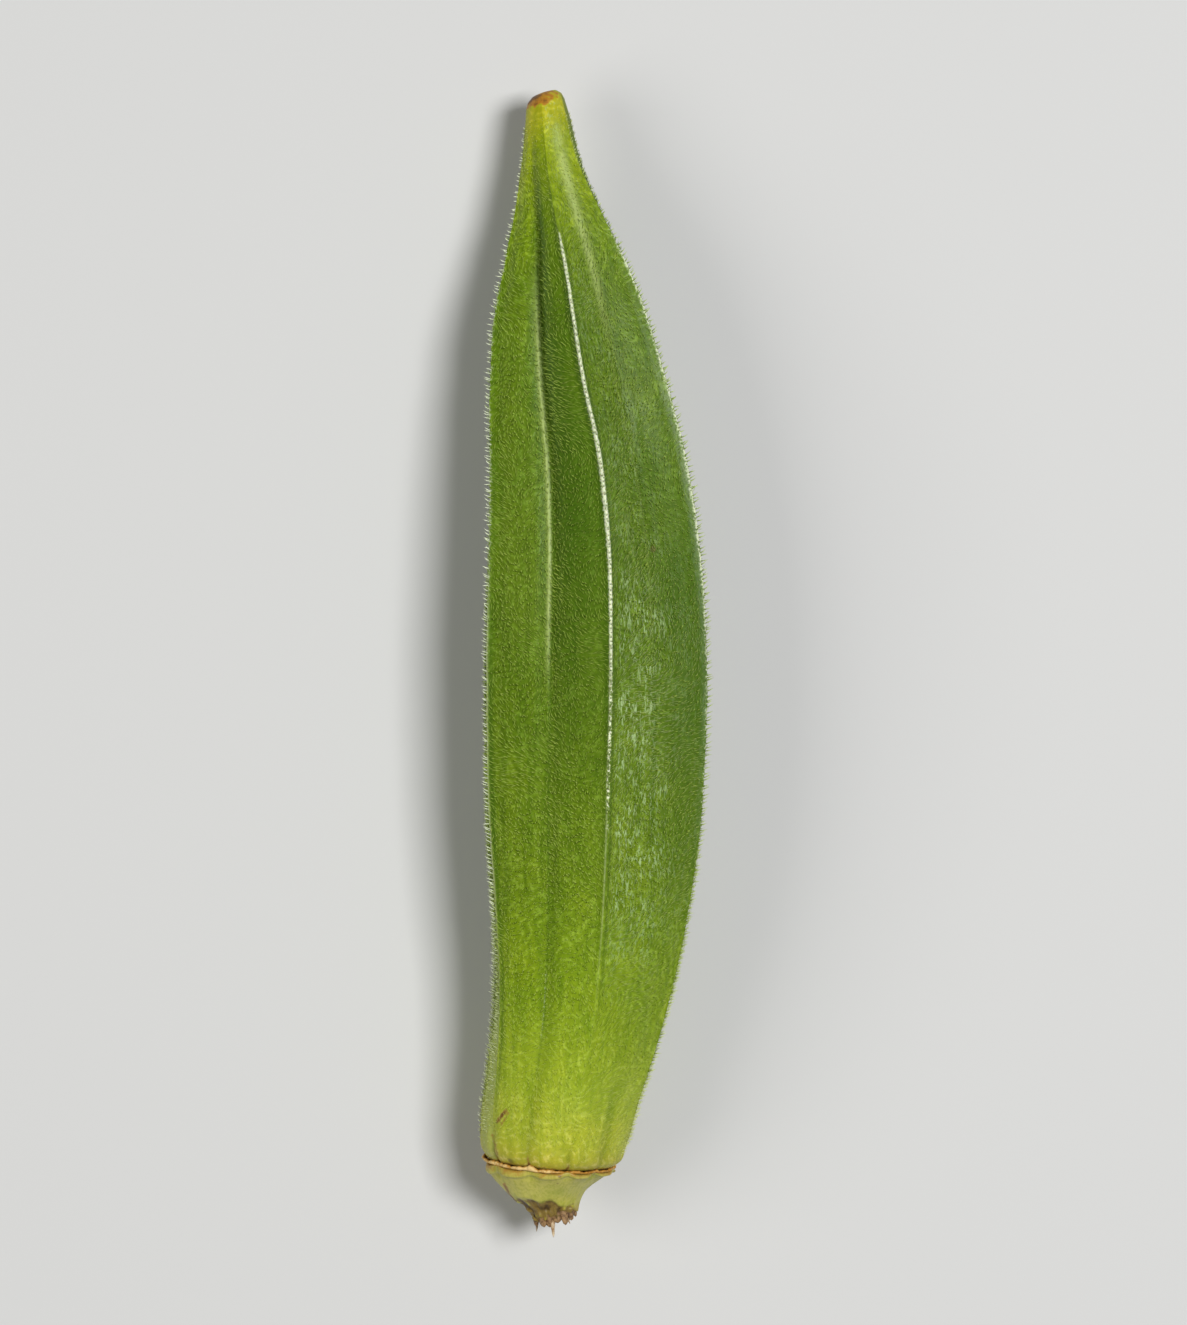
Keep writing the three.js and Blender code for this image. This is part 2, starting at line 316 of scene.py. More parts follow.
def skin_detail(y, side, u, angle):
    """The fine relief on the pod's form, in millimetres along its radius."""
    rib, valley = to_crease(y, side, u)
    rib_strength = RIB_STRENGTHS[nearest_rib(side, u)]
    valley_strength = VALLEY_STRENGTHS[side]
    broken = 0.75 + 0.35 * skin_noise(y, angle, 4, 3.5, 0)
    dashed = 0.9 + 0.6 * skin_noise(y, angle, 4, 0.9, 1)
    broken = np.where(y < DASHED_BELOW, dashed, broken)
    rib_line = rib_thread(y) * rib_strength * broken * bell(rib / THREAD_HALF_WIDTH)
    rib_trough = RIB_TROUGH * (0.4 + 0.6 * rib_strength) * within(y, 10, 30, 100, 112)
    rib_line = rib_line - rib_trough * bell((np.abs(rib) - TROUGH_OFFSET) / TROUGH_HALF_WIDTH)
    thread = bell((valley - VALLEY_THREAD_OFFSET) / THREAD_HALF_WIDTH)
    valley_line = valley_thread(y) * valley_strength * broken * thread
    trough = bell((valley - VALLEY_TROUGH_OFFSET) / VALLEY_TROUGH_HALF_WIDTH)
    valley_line = valley_line - valley_trough(y) * valley_strength * trough
    furrows = 0
    for number, share in enumerate(FURROW_AT):
        wander = 0.5 * skin_noise(y, angle, 60, 22, 3 + number)
        strength = 0.6 + 0.6 * skin_noise(y, angle, 20, 30, 5 + number)
        away = (u - share) * side_width(y, side) + wander
        furrows = furrows + strength * bell(away / FURROW_HALF_WIDTH)
    streaks = skin_noise(y, angle, 0.9, 9, 10)
    lumps = skin_noise(y, angle, 3.2, 3.2, 11)
    grain = skin_noise(y, angle, 0.9, 0.9, 12)
    fine = 0.045 * streaks + 0.05 * lumps + 0.018 * grain
    lobes = base_lobe(y) * between_creases(u) ** 0.8
    ridge = cone_ridge(y) * (side == UPPER_RIGHT) * bell(valley / CONE_RIDGE_HALF_WIDTH)
    fold = skin_fold(y) * valley_strength * np.sin(2 * np.pi * np.minimum(u, 1 - u)) ** 2
    lines = rib_line + valley_line + ridge
    return within(y, 0, 2, 117, 121.5) * (lines - furrow(y) * furrows + fine) + fold + lobes


def skin_points(y, side, u):
    """Points on the finished skin."""
    angle = angle_of(y, side, u)
    radius = form_radius(y, side, u, angle) + skin_detail(y, side, u, angle)
    points = point_on(y, angle, radius)
    inset = SKIN_INSET * rise(points[..., 2], 0, INSET_FROM) * within(y, 0, 3, 115, 125)
    points = point_on(y, angle, radius - inset, tip_shift(y, angle, radius))
    points[..., 2] = np.maximum(points[..., 2], 0)
    return points


def tip_rings(side, u, inset):
    """The rings of points that close the dry tip, this far inside the solid."""
    last_radius = form_radius(TIP_FROM, side, u, angle_of(TIP_FROM, side, u)) - inset
    rings = []
    for place, share in TIP_END:
        angle = angle_of(place, side, u)
        radius = share * last_radius
        rings.append(point_on(place, angle, radius, tip_shift(place, angle, radius)))
    return rings


def spread_across(count):
    """Shares of a side from 0 up to 1, closer together at the ribs and at the valley line."""
    fine = np.linspace(0, 1, 4001)
    density = 1 + 2.2 * (bell(fine / 0.035) + bell((fine - 1) / 0.035)) + 1.6 * bell((fine - 0.5) / 0.05)
    grown = np.cumsum(density)
    grown = (grown - grown[0]) / (grown[-1] - grown[0])
    return np.interp(np.arange(count) / count, grown, fine)


# ---- mesh helpers

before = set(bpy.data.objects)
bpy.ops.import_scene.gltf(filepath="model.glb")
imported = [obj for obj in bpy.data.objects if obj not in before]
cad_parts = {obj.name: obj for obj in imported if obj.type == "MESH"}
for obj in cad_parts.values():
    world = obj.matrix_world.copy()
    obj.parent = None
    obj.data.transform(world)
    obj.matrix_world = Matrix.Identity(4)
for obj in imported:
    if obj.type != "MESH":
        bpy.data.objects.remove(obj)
cad_low, cad_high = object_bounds()


def tube_faces(numbers):
    """Quads between the rows of a grid of vertex numbers. Each row is a closed ring."""
    low, high = numbers[:-1], numbers[1:]
    return np.stack([low, np.roll(low, -1, 1), np.roll(high, -1, 1), high], -1).reshape(-1, 4)


def fan_faces(ring, pole, outward):
    """Triangles from a ring to a pole."""
    after = np.roll(ring, -1)
    pole = np.full_like(ring, pole)
    return np.stack([ring, after, pole] if outward else [after, ring, pole], -1)


def loft(rows, start_pole, end_pole):
    """Points and faces of a closed skin through rings of points, with a pole at each end."""
    count = len(rows[0])
    points = np.concatenate([*rows, [start_pole], [end_pole]])
    numbers = np.arange(len(rows) * count).reshape(len(rows), count)
    start = fan_faces(numbers[0], len(points) - 2, False)
    end = fan_faces(numbers[-1], len(points) - 1, True)
    return points, [tube_faces(numbers), start, end]


def circle(count):
    """Angles round a full turn, and the points at them on a circle of radius 1."""
    turns = np.arange(count) / count * 2 * np.pi
    return turns, np.stack([np.sin(turns), 0 * turns, np.cos(turns)], -1)


def add_object(name, data):
    made = bpy.data.objects.new(name, data)
    bpy.context.scene.collection.objects.link(made)
    return made


def make_piece(name, points, face_groups, material, attributes):
    """A mesh object from points in millimetres. Its own frame is the frame of the solids."""
    mesh = bpy.data.meshes.new(name)
    faces = [face for group in face_groups for face in group.tolist()]
    mesh.from_pydata((points + PLACE) * METRE, [], faces)
    mesh.shade_smooth()
    for key, values in attributes.items():
        layer = mesh.attributes.new(key, "FLOAT", "POINT")
        layer.data.foreach_set("value", np.asarray(values, np.float32))
    mesh.materials.append(material)
    piece = add_object(name, mesh)
    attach(piece, "root")
    return piece


def place_of_form():
    """The shift, in millimetres, from the form's own axes to the frame of the solids."""
    y, side, u = grid_round(np.linspace(0.15, TIP_FROM, 400), spread_across(40))
    angle = angle_of(y, side, u)
    points = point_on(y, angle, form_radius(y, side, u, angle))
    low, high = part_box("pod")
    middle = (points.min((0, 1)) + points.max((0, 1))) / 2
    tip = np.max([ring[..., 1] for ring in tip_rings(side[0], u[0], 0)])
    return np.array([(low.x + high.x) / 2 / METRE - middle[0], high.y / METRE - tip, 0])


PLACE = place_of_form()


# ---- materials

# A mix node has its colours in these sockets.
MIX_FIRST, MIX_SECOND, MIX_RESULT = 6, 7, 2


class Shader:
    """A small builder for one node material, ending in a Principled BSDF."""

    def __init__(self, name, **settings):
        self.material = bpy.data.materials.new(name)
        self.material.use_nodes = True
        self.tree = self.material.node_tree
        self.surface = self.tree.nodes["Principled BSDF"].inputs
        self.color = None
        self.place = self.node("TexCoord", output="Object")
        self.set(**settings)

    def set(self, **settings):
        for name, value in settings.items():
            self.feed(self.surface[name.replace("_", " ")], value)

    def let_light_in(self, weight, depths):
        """Subsurface light that reaches these depths of red, green and blue, in millimetres."""
        self.set(Subsurface_Weight=weight, Subsurface_Radius=depths, Subsurface_Scale=METRE)

    def feed(self, socket, value):
        """Links or sets a socket; None leaves it as it is."""
        if isinstance(value, bpy.types.NodeSocket):
            self.tree.links.new(value, socket)
        elif value is not None:
            socket.default_value = (*value, 1) if socket.type == "RGBA" else value

    def node(self, kind, inputs=None, output=0, **settings):
        """One output of a new node, with its settings and with what its inputs are fed."""
        made = self.tree.nodes.new("ShaderNode" + kind)
        for key, value in settings.items():
            setattr(made, key, value)
        for key, value in (inputs or {}).items():
            self.feed(made.inputs[key], value)
        return made.outputs[output]

    def attribute(self, name):
        return self.node("Attribute", output="Fac", attribute_name=name)

    def math(self, operation, *values):
        return self.node("Math", dict(enumerate(values)), operation=operation)

    def times(self, first, second):
        return self.math("MULTIPLY", first, second)

    def clamp(self, value):
        return self.node("Clamp", {0: value})

    def noise(self, size, detail=2, roughness=0.55, squeeze=None, winding=0):
        """Noise from 0 to 1, about size millimetres across. A squeeze under 1 draws it out along Y."""
        inputs = {"Vector": self.place, "Scale": 1 / (size * METRE), "Detail": detail}
        inputs.update(Roughness=roughness, Distortion=winding)
        if squeeze is not None:
            inputs["Vector"] = self.node("Mapping", {"Vector": self.place, "Scale": (1, squeeze, 1)})
        return self.node("TexNoise", inputs)

    def cells(self, size):
        """The distance to the nearest of scattered points, about size millimetres apart."""
        return self.node("TexVoronoi", {"Vector": self.place, "Scale": 1 / (size * METRE)}, "Distance")

    def whorls(self, spacing, size):
        """Curved lines, from 0 to 1, so many millimetres apart, that wind in whorls of a size."""
        winding = self.times(self.noise(size, roughness=0.4), 2 * math.pi * size / spacing)
        wobble = self.times(self.noise(spacing * 2.5), 2 * math.pi * 0.9)
        return self.math("MULTIPLY_ADD", self.math("SINE", self.math("ADD", winding, wobble)), 0.5, 0.5)

    def rise(self, value, low, high):
        """0 at low, 1 at high, smooth between."""
        inputs = {"Value": value, "From Min": low, "From Max": high}
        return self.node("MapRange", inputs, interpolation_type="SMOOTHSTEP")

    def roughened(self, value, grain, amount):
        """A value that a grain of 0 to 1 moves up and down."""
        return self.math("ADD", value, self.times(self.math("SUBTRACT", grain, 0.5), amount))

    def ramp(self, factor, stops):
        made = self.tree.nodes.new("ShaderNodeValToRGB")
        made.color_ramp.interpolation = "EASE"
        while len(made.color_ramp.elements) < len(stops):
            made.color_ramp.elements.new(0.5)
        for element, (position, color) in zip(made.color_ramp.elements, stops.items()):
            element.position = position
            element.color = (*color, 1)
        self.feed(made.inputs[0], factor)
        return made.outputs[0]

    def mix(self, factor, first, second, blend="MIX"):
        inputs = {0: factor, MIX_FIRST: first, MIX_SECOND: second}
        return self.node("Mix", inputs, MIX_RESULT, data_type="RGBA", blend_type=blend)

    def cover(self, mask, paint):
        """Covers the colour with paint where the mask is 1."""
        self.color = self.mix(mask, self.color, paint)

    def paint(self, mask, strength, paint):
        self.cover(self.times(mask, strength), paint)

    def tint(self, mask, tint):
        """Multiplies the colour by a tint where the mask is 1."""
        self.cover(mask, self.mix(1.0, self.color, tint, "MULTIPLY"))

    def specks(self, spacing, radii, patch, low, high, paint):
        """Paints round specks with an outer and inner radius, in patches from a low to a high noise."""
        dot = self.rise(self.cells(spacing), *radii)
        self.paint(self.times(dot, self.rise(self.noise(patch), low, high)), 0.8, paint)

    def bump(self, heights, depth, normal=None):
        """Bump from a height of 0 to 1 that stands for depth millimetres."""
        inputs = {"Height": heights, "Distance": depth * METRE, "Strength": 1.0, "Normal": normal}
        return self.node("Bump", inputs)

    def finish(self, **settings):
        self.set(Base_Color=self.color, **settings)
        return self.material


def pod_material():
    """Green skin: paler and yellower at both ends, darker with painted shade in the grooves, brown in the
    scars, with painted glints, sheen and highlights.
    """
    s = Shader("okra_skin", Specular_IOR_Level=0.26)
    s.let_light_in(0.12, (0.6, 1.0, 0.2))
    y = s.attribute("along")
    s.color = s.ramp(y, {
        0.0: (0.4, 0.37, 0.035), 0.035: (0.35, 0.4, 0.024), 0.08: (0.27, 0.36, 0.014),
        0.17: (0.175, 0.27, 0.006), 0.3: (0.125, 0.205, 0.005), 0.45: (0.094, 0.168, 0.004),
        0.62: (0.088, 0.162, 0.004), 0.79: (0.104, 0.184, 0.004), 0.87: (0.16, 0.25, 0.004),
        0.94: (0.26, 0.34, 0.006), 1.0: (0.42, 0.4, 0.012),
    })
    streak = s.noise(0.8, 3, squeeze=0.07)
    mottle = s.noise(0.7, 4)
    s.tint(s.rise(streak, 0.38, 0.7), (0.76, 0.82, 0.6))
    s.tint(s.rise(s.noise(7, 3), 0.4, 0.75), (1.14, 1.07, 0.95))
    s.tint(s.rise(mottle, 0.5, 0.68), (1.2, 1.16, 1.4))

    # Fine curved strokes, pale on their crests and darker between them, weaker towards both ends.
    whorl = s.whorls(0.42, 6)
    breaks = s.noise(0.5)
    away_from_ends = s.math("MINIMUM", s.rise(y, 0.04, 0.3), s.rise(y, 0.985, 0.9))
    gap = s.times(s.rise(whorl, 0.6, 0.1), s.rise(breaks, 0.6, 0.4))
    gap = s.times(gap, s.math("MULTIPLY_ADD", away_from_ends, 0.7, 0.3))
    stroke = s.times(s.rise(whorl, 0.58, 0.98), s.rise(breaks, 0.42, 0.56))
    stroke = s.times(stroke, s.math("MULTIPLY_ADD", away_from_ends, 0.5, 0.5))
    s.tint(gap, (0.8, 0.82, 0.7))
    s.tint(stroke, (1.5, 1.42, 4.5))

    # Painted glints: pale flecks on the upper right side, where light would glint on the skin's fine lines.
    pale = s.times(s.attribute("pale"), s.rise(s.noise(3.4), 0.36, 0.62))
    glint = s.rise(s.noise(0.26, 1, roughness=0.5, squeeze=0.26 / 0.95, winding=0.9), 0.53, 0.64)
    s.paint(s.times(glint, pale), 0.75, (0.43, 0.58, 0.27))
    # A painted sheen: greyish skin among the pale bristles low on the side of -X.
    s.paint(s.attribute("fuzz_sheen"), 0.55, (0.33, 0.38, 0.11))
    # Painted shade: dark green in the valleys, beside the ribs, in the creases near the base and where the
    # skin turns from the light.
    painted_shade = s.clamp(s.times(s.attribute("painted_shade"), 0.82))
    s.cover(painted_shade, (0.046, 0.105, 0.003))

    # The threads: a soft band, and a pale ragged line that is broken into dashes near the base. On the cone
    # ridge the soft band is a painted highlight.
    band = s.times(s.attribute("band"), s.rise(s.noise(1.4), 0.1, 0.5))
    s.paint(band, 0.85, (0.43, 0.52, 0.17))
    # A painted highlight on the lobes at the base, and painted light on part of the upper left side.
    s.paint(s.attribute("lobe_highlight"), 0.12, (0.48, 0.54, 0.07))
    line = s.attribute("line")
    ragged = s.rise(s.roughened(line, s.noise(0.3), 1.6), 0.1, 0.6)
    strength = s.times(s.clamp(s.times(line, 1.8)), 0.97)
    dashes = s.rise(breaks, 0.47, 0.55)
    whole = s.math("ADD", s.rise(y, 0.42, 0.5), s.rise(y, 0.26, 0.22))
    unbroken = s.clamp(s.math("MAXIMUM", dashes, whole))
    s.cover(s.times(s.times(ragged, strength), unbroken), (0.78, 0.83, 0.58))
    s.paint(s.attribute("fold"), 0.7, (0.5, 0.54, 0.28))

    scar = s.roughened(s.attribute("scar"), s.noise(0.5, 3), 1.2)
    scar_color = s.mix(s.rise(y, 0.5, 0.9), (0.28, 0.2, 0.032), (0.4, 0.18, 0.018))
    s.cover(s.rise(scar, 0.2, 0.6), scar_color)
    s.cover(s.rise(scar, 0.55, 1.0), (0.13, 0.06, 0.012))
    s.specks(5.2, (0.1, 0.045), 11, 0.52, 0.66, (0.1, 0.07, 0.015))
    roughness = s.math("ADD", s.times(mottle, 0.2), 0.36)
    normal = s.bump(s.noise(0.28, 3), 0.03)
    normal = s.bump(stroke, 0.016, normal)
    return s.finish(Roughness=roughness, Normal=normal)


def hair_material():
    """Pale green, yellower at both ends, paler on bristles, with painted glints and sheen, and darker green
    with painted shade.
    """
    s = Shader("okra_hair", Roughness=0.42, Specular_IOR_Level=0.35)
    s.color = s.ramp(s.attribute("along"), {
        0.0: (0.6, 0.62, 0.15), 0.08: (0.5, 0.58, 0.11), 0.22: (0.33, 0.44, 0.055),
        0.45: (0.27, 0.38, 0.04), 0.85: (0.27, 0.39, 0.04), 1.0: (0.48, 0.52, 0.09),
    })
    s.tint(s.rise(s.noise(2.5), 0.4, 0.65), (1.3, 1.25, 1.6))
    s.paint(s.attribute("tip"), 0.5, (0.5, 0.6, 0.16))
    # Paler hairs: the rib bristles' own pale colour, with painted glints on the upper right side and a
    # painted sheen low on the side of -X.
    s.cover(s.clamp(s.times(s.attribute("pale"), 0.85)), (0.8, 0.85, 0.64))
    # Painted shade: hairs darker green where the skin under them is painted in shade.
    s.paint(s.attribute("painted_hair_shade"), 0.8, (0.06, 0.12, 0.008))
    return s.finish()


def cap_material():
    """Pale yellow-green flesh with fine lengthwise lines and small brown specks."""
    s = Shader("okra_cap", Specular_IOR_Level=0.4)
    s.let_light_in(0.15, (1.0, 0.9, 0.3))
    y = s.attribute("along")
    s.color = s.ramp(y, {
        0.0: (0.38, 0.29, 0.04), 0.2: (0.45, 0.43, 0.065), 0.5: (0.5, 0.475, 0.1),
        0.85: (0.46, 0.43, 0.085), 1.0: (0.4, 0.3, 0.055),
    })
    lines = s.noise(0.3, 3, squeeze=0.12)
    s.tint(s.rise(lines, 0.42, 0.68), (0.8, 0.84, 0.62))
    s.tint(s.rise(s.noise(3.2, 3), 0.45, 0.75), (0.74, 0.82, 0.5))
    s.specks(1.5, (0.2, 0.09), 3, 0.5, 0.62, (0.16, 0.085, 0.02))
    scar = s.roughened(s.attribute("scar"), s.noise(0.8, 4), 1.3)
    scar_color = s.mix(s.rise(y, 0.4, 0.75), (0.2, 0.135, 0.028), (0.37, 0.22, 0.034))
    s.cover(s.rise(scar, 0.25, 0.55), scar_color)
    s.cover(s.rise(scar, 0.6, 1.1), (0.06, 0.032, 0.008))
    roughness = s.math("ADD", s.times(lines, 0.25), 0.36)
    normal = s.bump(lines, 0.05)
    normal = s.bump(s.noise(0.22, 3), 0.02, normal)
    return s.finish(Roughness=roughness, Normal=normal)


def cork_material(name, dark, middle, pale):
    """Dry brown tissue, from dark in its pits to pale on its edges. On the scar ring the pale outer rim is a
    painted highlight.
    """
    s = Shader(name, Specular_IOR_Level=0.3)
    grain = s.noise(0.35, 4)
    worn = s.clamp(s.roughened(s.attribute("edge"), grain, 1.1))
    s.color = s.ramp(worn, {0.0: dark, 0.42: middle, 0.95: pale})
    roughness = s.math("ADD", s.times(grain, 0.25), 0.5)
    return s.finish(Roughness=roughness, Normal=s.bump(s.noise(0.16, 4), 0.05))


# ---- marks on the pod's skin

SCAR_LENGTHS = np.array([1.6, 1.1, 1.5, 1.1, 1.9, 1.3, 1.6, 1.0, 2.0, 2.3])  # a scar in each crease
SCAR_WIDTH = 0.2
# Small dry scratches near the base: strokes from (y, x) to (y, x), each with its darkness.
SCRATCHES = [
    ((4.3, -10.9), (5.8, -9.9), 0.8), ((5.8, -9.9), (5.5, -9.6), 0.6), ((5.5, -9.6), (4.1, -10.5), 0.5),
    ((2.8, -11.5), (0.8, -10.8), 0.55),
]
CAP_SCRATCHES = [((-1.9, -10.1), (-2.9, -9.6), 0.7), ((-2.9, -9.6), (-3.8, -8.8), 0.6)]
SCRATCH_HALF_WIDTH = 0.19
rib_line_half_width = curve_through({34: 0.2, 56: 0.17, 66: 0.2, 76: 0.25, 90: 0.2, 104: 0.18, 122: 0.2})
FROM_BASE = (-2, -1)  # a fade in that ends before the pod starts
TO_TIP = (124, 125)  # a fade out that starts after the pod ends


def stroke(y, strength, distance, middle, half_width, *fade):
    """A soft line on the skin, at a distance from a crease, that fades in and out along the pod."""
    return strength * bell((distance - middle) / half_width) * within(y, *fade)


def scar_mask(y, side, u):
    """1 along the middle of the dry scar that runs up each crease from the ring, 0 outside it."""
    rib, valley = to_crease(y, side, u)
    crease = np.digitize(u, [0.25, 0.75])  # 1 is the valley, 0 and 2 are the ribs beside it
    length = SCAR_LENGTHS[np.mod(2 * side + crease, len(SCAR_LENGTHS))]
    left = np.clip(1 - y / length, 0, 1)
    away = np.where(crease == 1, valley, rib)
    in_crease = left * bell(away / (SCAR_WIDTH * (0.35 + left)))
    return np.maximum(1.1 * in_crease, 0.62 * rise(y, 0.7, 0.15))


def scratch_mask(strokes, y, points):
    """1 in the middle of a scratch on the upper half of the skin, 0 away from them."""
    places = np.stack([y, points[..., 0]], -1)
    mark = np.zeros(np.shape(y))
    for start, end, darkness in strokes:
        start, end = np.array(start), np.array(end)
        run = end - start
        share = np.clip((places - start) @ run / (run @ run), 0, 1)
        away = np.linalg.norm(places - start - share[..., None] * run, axis=-1)
        mark = np.maximum(mark, darkness * bell(away / SCRATCH_HALF_WIDTH))
    return mark * (points[..., 2] > height(y))


def dryness(angle):
    """How dry and brown the tip is: most on the side of -X."""
    return 0.6 - 0.42 * np.sin(angle)


def painted_glints(y, side, u):
    """1 on the side where painted glints make the skin's fine lines show palest, 0 on the others."""
    lower = rise(y, 16, 36) * (0.35 + 0.65 * rise(y, 74, 60))
    return (side == UPPER_RIGHT) * rise(u, 0.02, 0.1) * (1 - 0.6 * rise(u, 0.5, 0.85)) * lower


def fuzz_and_sheen(y, side, u):
    """1 where the skin is greyish with pale bristles, low on the side of -X near the base. The bristles are
    real; the greyish skin and their paleness there are a painted sheen.
    """
    return (side == LEFT) * rise(u, 0.5, 0.97) * rise(y, 52, 20)


def valley_shade(y, side, u):
    """How far the skin is in the shade of a deep valley."""
    _, valley = to_crease(y, side, u)
    # How much painted shade the skin gets beside a valley, the more the deeper it is.
    return VALLEY_STRENGTHS[side] * valley_depth(y) / 0.05 * bell((valley - 0.9) / 1.1)


def turned_from_light(y, side, u):
    """1 beyond the rib at the side of +X, where painted shade makes the skin a deeper green as it turns from
    the light.
    """
    rib, _ = to_crease(y, side, u)
    return (side == RIGHT) * (rib > 0) * rise(rib, 0.1, 0.5) * rise(y, 20, 50)


def right_of_top_valley(y, side, u):
    """1 on the half of the upper left side that is turned from -X, where painted shade makes the skin a
    deeper green.
    """
    _, valley = to_crease(y, side, u)
    return (side == UPPER_LEFT) * rise(valley, 1, 3) * within(y, 34, 52, 86, 102)


def shading(y, side, u):
    """How much painted shade the skin gets: in its valleys, beside its ribs and where it turns from the
    light.
    """
    rib, valley = to_crease(y, side, u)
    by_rib = 0.9 * RIB_STRENGTHS[nearest_rib(side, u)]
    by_valley = VALLEY_STRENGTHS[side]
    upper_right = side == UPPER_RIGHT
    return sum([
        valley_shade(y, side, u),
        stroke(y, by_rib, rib, 0.42, 0.16, 12, 40, 98, 112),
        stroke(y, 0.4 * by_rib, rib, -0.5, 0.3, 12, 40, 98, 112),
        stroke(y, 0.45 * by_valley, valley, 0.1, 0.2, 6, 16, 52, 64),
        stroke(y, 0.55 * by_valley, valley, 3.5, 2.6, 45, 75, *TO_TIP),
        stroke(y, 0.7 * (side == UPPER_LEFT), rib, 0.5, 0.3, *FROM_BASE, 50, 66),
        stroke(y, 0.5 * upper_right, valley, -0.2, 0.4, 32, 42, 58, 70),
        0.7 * upper_right * rise(u, 0.45, 0.8) * within(y, 15, 45, 62, 82),
        0.8 * turned_from_light(y, side, u),
        0.36 * right_of_top_valley(y, side, u),
    ])


def pod_marks(y, side, u, skin):
    """The masks that the pod's material reads, on the rings of its skin."""
    rib, valley = to_crease(y, side, u)
    upper_left = side == UPPER_LEFT
    by_rib = RIB_STRENGTHS[nearest_rib(side, u)]
    by_valley = 0.9 * VALLEY_STRENGTHS[side]
    on_cone = 0.85 * (side == UPPER_RIGHT)
    rib_line = stroke(y, by_rib, rib, 0, rib_line_half_width(y), 34, 46, 102.5, 107)
    base_line = stroke(y, 0.22 * upper_left, valley, 0, 0.15, 13, 15.5, 21, 24)
    valley_band = stroke(y, by_valley, valley, VALLEY_THREAD_OFFSET, 0.34, 52, 64, 90, 104)
    # On the cone ridge the soft band is a painted highlight.
    cone_band = stroke(y, on_cone, valley, 0, CONE_RIDGE_HALF_WIDTH, 88, 104, 114, 120)
    fold = stroke(y, upper_left, rib, 0, 0.14, 16, 34, 56, 72)
    low_fold = stroke(y, side == LEFT, rib, 0, 0.24, 16, 34, 56, 72)
    # Painted shade in the creases near the base.
    crease = rise(y, 5, 0.5) * np.maximum(bell(rib / 0.3), bell(valley / 0.3))
    soft_crease_shade = stroke(y, 0.3, valley, 0, 0.9, 0, 3, 6, 16)
    # Painted shade from the valleys, beside the ribs and on the sides turned from the light.
    dark = np.clip(shading(y, side, u) * rise(y, 3, 12), 0, 1)
    # A painted highlight on the lobes between the creases at the base, and painted light on the upper left
    # side beside its valley.
    lobe_highlight = between_creases(u) ** 2 * within(y, 1, 3.5, 7, 15)
    painted_lit_side = 0.35 * upper_left * rise(valley, -1, -3) * rise(rib, 0.6, 2)
    angle = angle_of(y, side, u)
    ragged = 0.4 * skin_noise(y, angle, 0.8, 0.8, 80)
    dry_tip = rise(y + ragged, 120.5, 121.1) * dryness(angle)
    scars = [scar_mask(y, side, u), scratch_mask(SCRATCHES, y, skin), dry_tip]
    return {
        "line": np.maximum(rib_line, base_line),
        "band": np.maximum(valley_band, cone_band),
        "fold": fold + low_fold,
        "painted_shade": dark + 0.35 * crease + soft_crease_shade,
        "lobe_highlight": lobe_highlight + painted_lit_side * within(y, 52, 64, 88, 102),
        "fuzz_sheen": fuzz_and_sheen(y, side, u),
        "pale": painted_glints(y, side, u),
        "scar": np.max(scars, axis=0),
    }


# ---- the pod and its hairs

ACROSS_COUNT = 60
STATIONS = np.concatenate([np.arange(0.15, 6, 0.2), np.arange(6, 118, 0.43), np.linspace(118, TIP_FROM, 12)])
BASE_SCAR = 0.8  # how brown the skin is inside the dish


def make_pod_skin():
    y, side, u = grid_round(STATIONS, spread_across(ACROSS_COUNT))
    skin = skin_points(y, side, u)
    ring = side[0], u[0]
    rim_radius = form_radius(0, *ring, angle_of(0, *ring))
    base, base_pole = dish(DISH_RINGS, *ring, rim_radius, SEAM / 2)
    tip = tip_rings(*ring, TIP_INSET)
    points, faces = loft([*base, *skin, *tip], base_pole, point_on(POD_LENGTH - TIP_HOLLOW, 0, 0))

    def whole(values, at_base=0, at_tip=0):
        """The values of the skin's rows, and one for all that is below and beyond them."""
        ends = np.full(len(base) * side.shape[1], at_base)
        tips = [np.broadcast_to(at_tip, side.shape[1])] * len(tip)
        return np.concatenate([ends, *values, *tips, [at_base], [np.mean(at_tip)]])

    marks = pod_marks(y, side, u, skin)
    scar = whole(marks.pop("scar"), BASE_SCAR, dryness(angle_of(TIP_FROM, *ring)))
    attributes = {name: whole(values) for name, values in marks.items()}
    attributes.update({"scar": scar, "along": whole(y / POD_LENGTH, 0, 1)})
    piece = make_piece("pod_skin", points, faces, pod_material(), attributes)
    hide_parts("pod")


HAIR_SPACING = 0.43
HAIR_ZONES = {  # the range of y in which each piece's hairs stand
    "hairs_base": (1.0, 34), "hairs_middle": (34, 62), "hairs_upper": (62, 88), "hairs_tip": (88, 119),
}
BRISTLE_SHARE = 0.3
# Kinds of hair: shortest and longest length, radius at the root, lean and its spread, in degrees.
DOWN = (0.5, 0.9, 0.03, 58, 8)
BRISTLE = (0.55, 0.74, 0.06, 26, 8)
RIB_BRISTLE = (0.64, 0.94, 0.085, 24, 9)
RIB_SPACING = 0.48
RIB_SCATTER = 0.05
